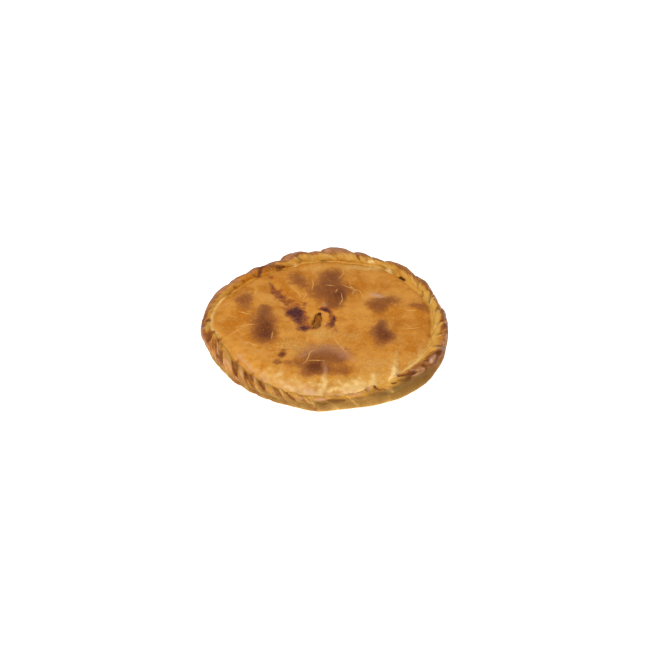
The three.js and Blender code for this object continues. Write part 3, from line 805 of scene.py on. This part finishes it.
# Mesh: a flat grid whose rows are the rings takes its place on the crust, then its edges are closed.
MM = 0.001
MERGE_DISTANCE = 1e-7
shape = bmesh.new()
bmesh.ops.create_grid(shape, x_segments=len(COLUMNS) - 1, y_segments=len(RINGS) - 1, size=0.5)
crust_mesh = bpy.data.meshes.new("crust_baked")
shape.to_mesh(crust_mesh)
flat = np.empty(len(crust_mesh.vertices) * 3)
crust_mesh.vertices.foreach_get("co", flat)
flat = flat.reshape(-1, 3) + 0.5
column_of = np.rint(flat[:, 0] * (len(COLUMNS) - 1)).astype(int)
ring_of = np.rint(flat[:, 1] * (len(RINGS) - 1)).astype(int)
placed = (points[ring_of, column_of] - np.array([OUTLINE_MIDDLE.x, OUTLINE_MIDDLE.y, 0])) * MM
crust_mesh.vertices.foreach_set("co", placed.ravel())
for name, values in FINISH.items():
    layer = crust_mesh.attributes.new(name, "FLOAT", "POINT")
    layer.data.foreach_set("value", values[ring_of, column_of].astype(np.float32))
layer = crust_mesh.attributes.new("strand", "FLOAT_VECTOR", "POINT")
layer.data.foreach_set("vector", strand[ring_of, column_of].astype(np.float32).ravel())
shape.clear()
shape.from_mesh(crust_mesh)
bmesh.ops.remove_doubles(shape, verts=shape.verts[:], dist=MERGE_DISTANCE)
bmesh.ops.recalc_face_normals(shape, faces=shape.faces[:])
shape.to_mesh(crust_mesh)
shape.free()
crust_mesh.polygons.foreach_set("use_smooth", [True] * len(crust_mesh.polygons))
crust = bpy.data.objects.new("crust_baked", crust_mesh)
bpy.context.scene.collection.objects.link(crust)


class Tone:
    """A number or colour that varies over a surface. Arithmetic on it adds nodes to its material."""

    def __init__(self, tree, socket):
        self.tree = tree
        self.socket = socket

    def node(self, kind, settings, inputs, output=0):
        """One node: its settings first, then the values or links of its inputs."""
        made = self.tree.nodes.new(kind)
        for setting, value in settings.items():
            setattr(made, setting, value)
        for key, value in inputs.items():
            if isinstance(value, Tone):
                self.tree.links.new(value.socket, made.inputs[key])
            else:
                made.inputs[key].default_value = value
        return Tone(self.tree, made.outputs[output])

    def math(self, operation, *values):
        return self.node("ShaderNodeMath", {"operation": operation}, dict(enumerate(values)))

    def __add__(self, other):
        return self.math("ADD", self, other)

    def __sub__(self, other):
        return self.math("SUBTRACT", self, other)

    def __mul__(self, other):
        return self.math("MULTIPLY", self, other)

    def __rsub__(self, other):
        return self.math("SUBTRACT", other, self)

    __radd__ = __add__
    __rmul__ = __mul__

    def between(self, low, high):
        """0 below low, 1 above high, and an S curve between."""
        inputs = {0: self, 1: low, 2: high}
        return self.node("ShaderNodeMapRange", {"interpolation_type": "SMOOTHSTEP"}, inputs)

    def size(self):
        return self.math("ABSOLUTE", self)

    def towards(self, colour, share):
        """This colour, mixed with another."""
        inputs = {0: share, 6: self, 7: colour}
        return self.node("ShaderNodeMix", {"data_type": "RGBA"}, inputs, 2)


def paint(red, green, blue):
    """A colour as seen, 0 to 255, as the shader takes it."""
    seen = [channel / 255 for channel in (red, green, blue)]
    return [c / 12.92 if c <= 0.04045 else ((c + 0.055) / 1.055) ** 2.4 for c in seen] + [1.0]


# Colours of the dough, from golden to burnt, and of the juice; the cream of the palest dough and of
# painted highlights, the rose and lilac of painted sheen on dry egg wash, and the shade colour of painted
# shade; and the depth of the skin's grain in metres.
GOLDEN = paint(210, 141, 51)
AMBER = paint(185, 108, 0)
PALE = paint(216, 168, 90)
CREAM_AND_HIGHLIGHT = paint(240, 198, 126)
WALL_TAN = paint(142, 104, 44)
STRAW = paint(211, 161, 64)
SHEEN_ROSE = paint(208, 156, 118)
SHEEN_LILAC = paint(176, 134, 116)
LIGHT_BROWN = paint(150, 86, 28)
DARK_BROWN = paint(101, 46, 2)
JUICE_EDGE = paint(140, 66, 22)
JUICE = paint(69, 22, 29)
CRACK = paint(228, 170, 90)
FOLD_SHADE = paint(80, 44, 4)
SKIN_STRENGTH = 0.45
SKIN_DEPTH = 0.0016
DOUGH_GLOSS = 0.2

dough = bpy.data.materials.new("baked_dough")
dough.use_nodes = True
tree = dough.node_tree
shader = tree.nodes["Principled BSDF"]
start = Tone(tree, None)
object_place = start.node("ShaderNodeTexCoord", {}, {}, "Object")


def finish(name):
    return start.node("ShaderNodeAttribute", {"attribute_name": name}, {}, "Fac")


def grain(scale, detail, roughness=0.5):
    """Noise over the dough, about 0.5 on average, with a number of lumps to the metre."""
    inputs = {"Vector": object_place, "Scale": scale, "Detail": detail, "Roughness": roughness}
    return start.node("ShaderNodeTexNoise", {}, inputs)


broad = grain(32, 4, 0.68)
medium = grain(110, 4, 0.6)
small = grain(340, 4, 0.6)
fine = grain(1000, 2)
mottled = (medium - 0.5) * 1.6 + (small - 0.5) * 1.0
strand_place = start.node("ShaderNodeAttribute", {"attribute_name": "strand"}, {}, "Vector")
streaks = start.node("ShaderNodeTexNoise", {}, {"Vector": strand_place, "Scale": 1.0, "Detail": 3.0})
streak = (streaks - 0.5) * finish("streaky")
colour = start.node("ShaderNodeRGB", {}, {}, "Color")
colour.socket.default_value = GOLDEN
amber = finish("amber") * 0.8 + (broad - 0.5) * 3.4 + mottled * 1.4 + 0.38
colour = colour.towards(AMBER, amber)
colour = colour.towards(WALL_TAN, finish("tan") * 0.85)
colour = colour.towards(STRAW, finish("straw") * (0.4 + medium * 1.2))
floury = (small - 0.5) * 2.2 + (fine - 0.5) * 2.8 + (0.5 - broad) * 0.6 + streak * 1.3 - 0.14
pale = finish("pale") * (0.2 + medium * 1.6)
colour = colour.towards(PALE, pale + floury * (1 - finish("tan") * 0.75))
# The palest dough turns cream, and so do painted highlights where the pale value is high.
colour = colour.towards(CREAM_AND_HIGHLIGHT, pale + (small - 0.5) * 0.8 - 0.8)
scorched = (medium - 0.5) * 1.2 + (small - 0.5) * 1.8 + (fine - 0.5) * 0.8
browning = finish("browned") + scorched * (finish("browned") * 0.6 + 0.08) - streak * 0.9
colour = colour.towards(LIGHT_BROWN, browning.between(0.05, 0.45) * 0.95)
colour = colour.towards(DARK_BROWN, browning.between(0.3, 1.0))
juice = finish("stain") + mottled * 0.8 * finish("stain").between(0.02, 0.25)
colour = colour.towards(JUICE_EDGE, juice.between(0.06, 0.5) * 0.8)
colour = colour.towards(JUICE, juice.between(0.45, 0.9) * 0.95)
# Painted sheen: lilac speckles over browned patches and the stain.
sheen_on_brown = browning.between(0.15, 0.5) * 0.7 + juice.between(0.5, 0.9)
colour = colour.towards(SHEEN_LILAC, sheen_on_brown * ((small - 0.6) * 2.4 + (fine - 0.5) * 1.8))
wander = (grain(160, 2) - 0.5) * 2.4
crack = (1 - (finish("crack_offset") + wander).size().between(0.1, 0.95)) * finish("crack_open")
colour = colour.towards(CRACK, crack * 0.75)
# Painted shade, in creases, hollows, slits and the seam, under the flaps and in the vent.
colour = colour.towards(FOLD_SHADE, finish("dark") * (0.6 + medium * 0.8))
# Painted sheen of dry egg wash, in rose; the same value lowers the roughness below.
colour = colour.towards(SHEEN_ROSE, finish("shine") * (medium * 2.4 - 0.4))
tree.links.new(colour.socket, shader.inputs["Base Color"])
roughness = 0.42 + (medium - 0.5) * 0.5 - finish("shine") * 0.15
roughness = roughness + finish("tan") * 0.2 + finish("dark") * 0.3
tree.links.new(roughness.socket, shader.inputs["Roughness"])
height = medium * 0.5 + small * 0.35 + fine * 0.2 - crack * 0.4 + streak * 0.8
relief = {"Strength": SKIN_STRENGTH, "Distance": SKIN_DEPTH, "Height": height}
bump = start.node("ShaderNodeBump", {}, relief, "Normal")
tree.links.new(bump.socket, shader.inputs["Normal"])
shader.inputs["Specular IOR Level"].default_value = DOUGH_GLOSS
crust_mesh.materials.append(dough)
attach(crust, "root")
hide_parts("crust")

# The floor: a plain white sheet under the pie, far wider than the view, and lit from below like a
# photographer's light table, so that it stays white and casts a little light on the wall.
FLOOR_HALF = 60.0
FLOOR_GAP = 0.0002
FLOOR_WHITE = (0.9, 0.9, 0.9, 1)
FLOOR_ROUGHNESS = 0.9
FLOOR_GLOW = 0.85
PURE_WHITE = (1, 1, 1, 1)
sheet = bmesh.new()
bmesh.ops.create_grid(sheet, x_segments=1, y_segments=1, size=FLOOR_HALF)
bmesh.ops.translate(sheet, verts=sheet.verts[:], vec=(0, 0, -FLOOR_GAP))
floor_mesh = bpy.data.meshes.new("floor")
sheet.to_mesh(floor_mesh)
sheet.free()
floor = bpy.data.objects.new("floor", floor_mesh)
bpy.context.scene.collection.objects.link(floor)
white = bpy.data.materials.new("white_floor")
white.use_nodes = True
white_shader = white.node_tree.nodes["Principled BSDF"]
white_shader.inputs["Base Color"].default_value = FLOOR_WHITE
white_shader.inputs["Roughness"].default_value = FLOOR_ROUGHNESS
white_shader.inputs["Emission Color"].default_value = PURE_WHITE
white_shader.inputs["Emission Strength"].default_value = FLOOR_GLOW
floor_mesh.materials.append(white)

# The light: one wide soft box in front of the pie, to its left and high above it, and an even white
# room. Sizes and places are in metres.
ROOM_STRENGTH = 0.5
SOFT_BOX_WIDTH = 1.6
SOFT_BOX_DEPTH = 1.0
SOFT_BOX_WATTS = 18
SOFT_BOX_PLACE = (-0.4, -0.75, 1.2)
world = bpy.data.worlds.new("white_room")
world.use_nodes = True
world.node_tree.nodes["Background"].inputs["Color"].default_value = PURE_WHITE
world.node_tree.nodes["Background"].inputs["Strength"].default_value = ROOM_STRENGTH
bpy.context.scene.world = world
box_light = bpy.data.lights.new("soft_box", "AREA")
box_light.shape = "RECTANGLE"
box_light.size = SOFT_BOX_WIDTH
box_light.size_y = SOFT_BOX_DEPTH
box_light.energy = SOFT_BOX_WATTS
soft_box = bpy.data.objects.new("soft_box", box_light)
bpy.context.scene.collection.objects.link(soft_box)
soft_box.location = SOFT_BOX_PLACE
soft_box.rotation_euler = (-soft_box.location).to_track_quat("-Z", "Y").to_euler()

# The camera: 37.5 degrees above the table, straight at the pie's front. Its aim, in metres, and its
# lens, in millimetres, set the pie in a square picture as the photograph has it.
CAMERA_HEIGHT_ANGLE = math.radians(37.5)
CAMERA_DISTANCE = 1.3
CAMERA_AIM = Vector((0.0030, -0.0047, 0.0148))
LENS_LENGTH = 68.55
SENSOR_WIDTH = 36
lens = bpy.data.cameras.new("camera")
lens.lens = LENS_LENGTH
lens.sensor_width = SENSOR_WIDTH
camera = bpy.data.objects.new("camera", lens)
bpy.context.scene.collection.objects.link(camera)
back = Vector((0, -math.cos(CAMERA_HEIGHT_ANGLE), math.sin(CAMERA_HEIGHT_ANGLE)))
camera.location = CAMERA_AIM + CAMERA_DISTANCE * back
camera.rotation_euler = (-back).to_track_quat("-Z", "Y").to_euler()
bpy.context.scene.camera = camera
bpy.context.scene.view_settings.view_transform = "Standard"
